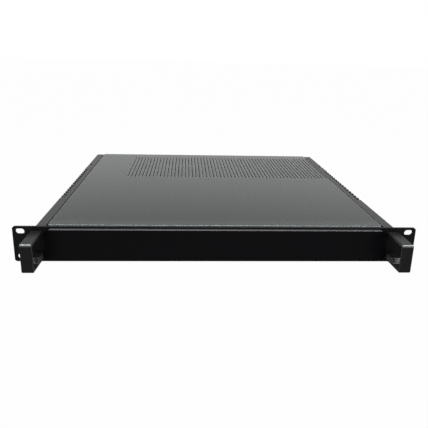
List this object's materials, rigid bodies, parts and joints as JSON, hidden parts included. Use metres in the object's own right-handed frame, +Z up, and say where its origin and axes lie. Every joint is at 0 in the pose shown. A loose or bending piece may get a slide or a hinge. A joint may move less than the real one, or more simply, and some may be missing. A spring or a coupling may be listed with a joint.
{
  "type": "rack server",
  "caption": "One-unit rack server: folded chassis with sliding slotted cover, ear panel with drop-down door, loop handles, and drives, fans, board and power supply inside.",
  "frame": {"origin": "middle of the four rack slots, on the back face of the rack ears", "axes": "+X to the right seen from the front, +Y to the rear along the chassis, +Z up"},
  "size_m": [0.4826, 0.5, 0.0436],
  "materials": {
    "body_steel": "zinc-plated sheet, satin",
    "body_paint": "dark satin paint on folded sheet",
    "cover_paint": "dark grey-green satin paint on folded sheet",
    "bright_steel": "bright plated",
    "black_paint": "fine-textured black powder paint",
    "cast_black": "black painted casting, semi-gloss",
    "black_plastic": "fine-grained moulding",
    "grey_plastic": "fine-grained moulding",
    "fan_plastic": "smooth moulding",
    "gloss_black": "polished moulding",
    "clear_plastic": "clear moulding",
    "circuit_board": "green solder mask",
    "plated_shell": "nickel-plated shell",
    "drive_metal": "cast and pressed, satin",
    "fin_metal": "extruded, bare",
    "standoff_brass": "turned",
    "filter_foam": "open-cell foam",
    "lead_jacket": "smooth jacket",
    "magnet": "sintered, plated"
  },
  "bodies": {
    "chassis": {"air_filter": "filter_foam", "board_power_socket": "grey_plastic", "board_screws": "bright_steel", "board_standoffs": "standoff_brass", "chassis_tray": "body_paint", "chipset_heatsink": "fin_metal", "coin_cell": "plated_shell", "control_board": "circuit_board", "control_housing": "black_plastic", "display_port": "plated_shell", "door_hinge_pins": "bright_steel", "door_magnets": "magnet", "drive_cage": "body_steel", "fan_frame_1": "black_plastic", "fan_frame_2": "black_plastic", "fan_frame_3": "black_plastic", "fan_wall": "body_steel", "front_panel": "black_paint", "front_rail": "body_paint", "front_usb_ports": "plated_shell", "handle_screws": "bright_steel", "hard_drive_1": "drive_metal", "hard_drive_2": "drive_metal", "hard_drive_3": "drive_metal", "io_shield": "bright_steel", "left_handle": "cast_black", "light_pipes": "clear_plastic", "memory_modules": "circuit_board", "memory_slots": "black_plastic", "motherboard": "circuit_board", "power_inlet": "black_plastic", "processor_heatsink": "fin_metal", "processor_socket": "black_plastic", "psu_case": "body_steel", "psu_fan_frame": "black_plastic", "psu_lead": "lead_jacket", "psu_screws": "bright_steel", "rear_lan_ports": "plated_shell", "rear_usb_ports": "plated_shell", "right_handle": "cast_black", "riser_card": "circuit_board", "serial_port": "plated_shell", "slot_cover": "body_paint", "switch_frame": "black_plastic", "switch_pin": "bright_steel", "tact_switches": "black_plastic"},
    "front_door": {"front_door": "black_plastic", "door_strikes": "bright_steel"},
    "top_cover": {"top_cover": "cover_paint"},
    "power_button": {"power_button": "grey_plastic"},
    "reset_button": {"reset_button": "grey_plastic"},
    "psu_fan_rotor": {"psu_fan_rotor": "fan_plastic"},
    "power_rocker": {"power_rocker": "gloss_black"},
    "fan_rotor_1": {"fan_rotor_1": "fan_plastic"},
    "fan_rotor_2": {"fan_rotor_2": "fan_plastic"},
    "fan_rotor_3": {"fan_rotor_3": "fan_plastic"}
  },
  "joints": [
    {"name": "door_hinge", "type": "hinge", "parent": "chassis", "child": "front_door", "pos_m": [0, -0.00565, -0.017], "axis": [1, 0, 0], "range_deg": [0, 90]},
    {"name": "cover_slide", "type": "slide", "parent": "chassis", "child": "top_cover", "axis": [0, 1, 0], "range_m": [0, 0.014]},
    {"name": "power_press", "type": "slide", "parent": "chassis", "child": "power_button", "axis": [0, 1, 0], "range_m": [0, 0.0015], "stiffness_N_per_m": 1000, "springref_m": -0.0005},
    {"name": "reset_press", "type": "slide", "parent": "chassis", "child": "reset_button", "axis": [0, 1, 0], "range_m": [0, 0.0015], "stiffness_N_per_m": 1000, "springref_m": -0.0005},
    {"name": "rocker_tilt", "type": "hinge", "parent": "chassis", "child": "power_rocker", "pos_m": [-0.1414, 0.44026, 0.01015], "axis": [0, 0, 1], "range_deg": [-18, 0]},
    {"name": "fan_spin_1", "type": "hinge", "parent": "chassis", "child": "fan_rotor_1", "pos_m": [-0.051, 0.1852, -0.00025], "axis": [0, 1, 0], "continuous": true},
    {"name": "fan_spin_2", "type": "hinge", "parent": "chassis", "child": "fan_rotor_2", "pos_m": [0.041, 0.1852, -0.00025], "axis": [0, 1, 0], "continuous": true},
    {"name": "fan_spin_3", "type": "hinge", "parent": "chassis", "child": "fan_rotor_3", "pos_m": [0.133, 0.1852, -0.00025], "axis": [0, 1, 0], "continuous": true},
    {"name": "psu_fan_spin", "type": "hinge", "parent": "chassis", "child": "psu_fan_rotor", "pos_m": [-0.1767, 0.4293, -0.0004], "axis": [0, 1, 0], "continuous": true}
  ]
}
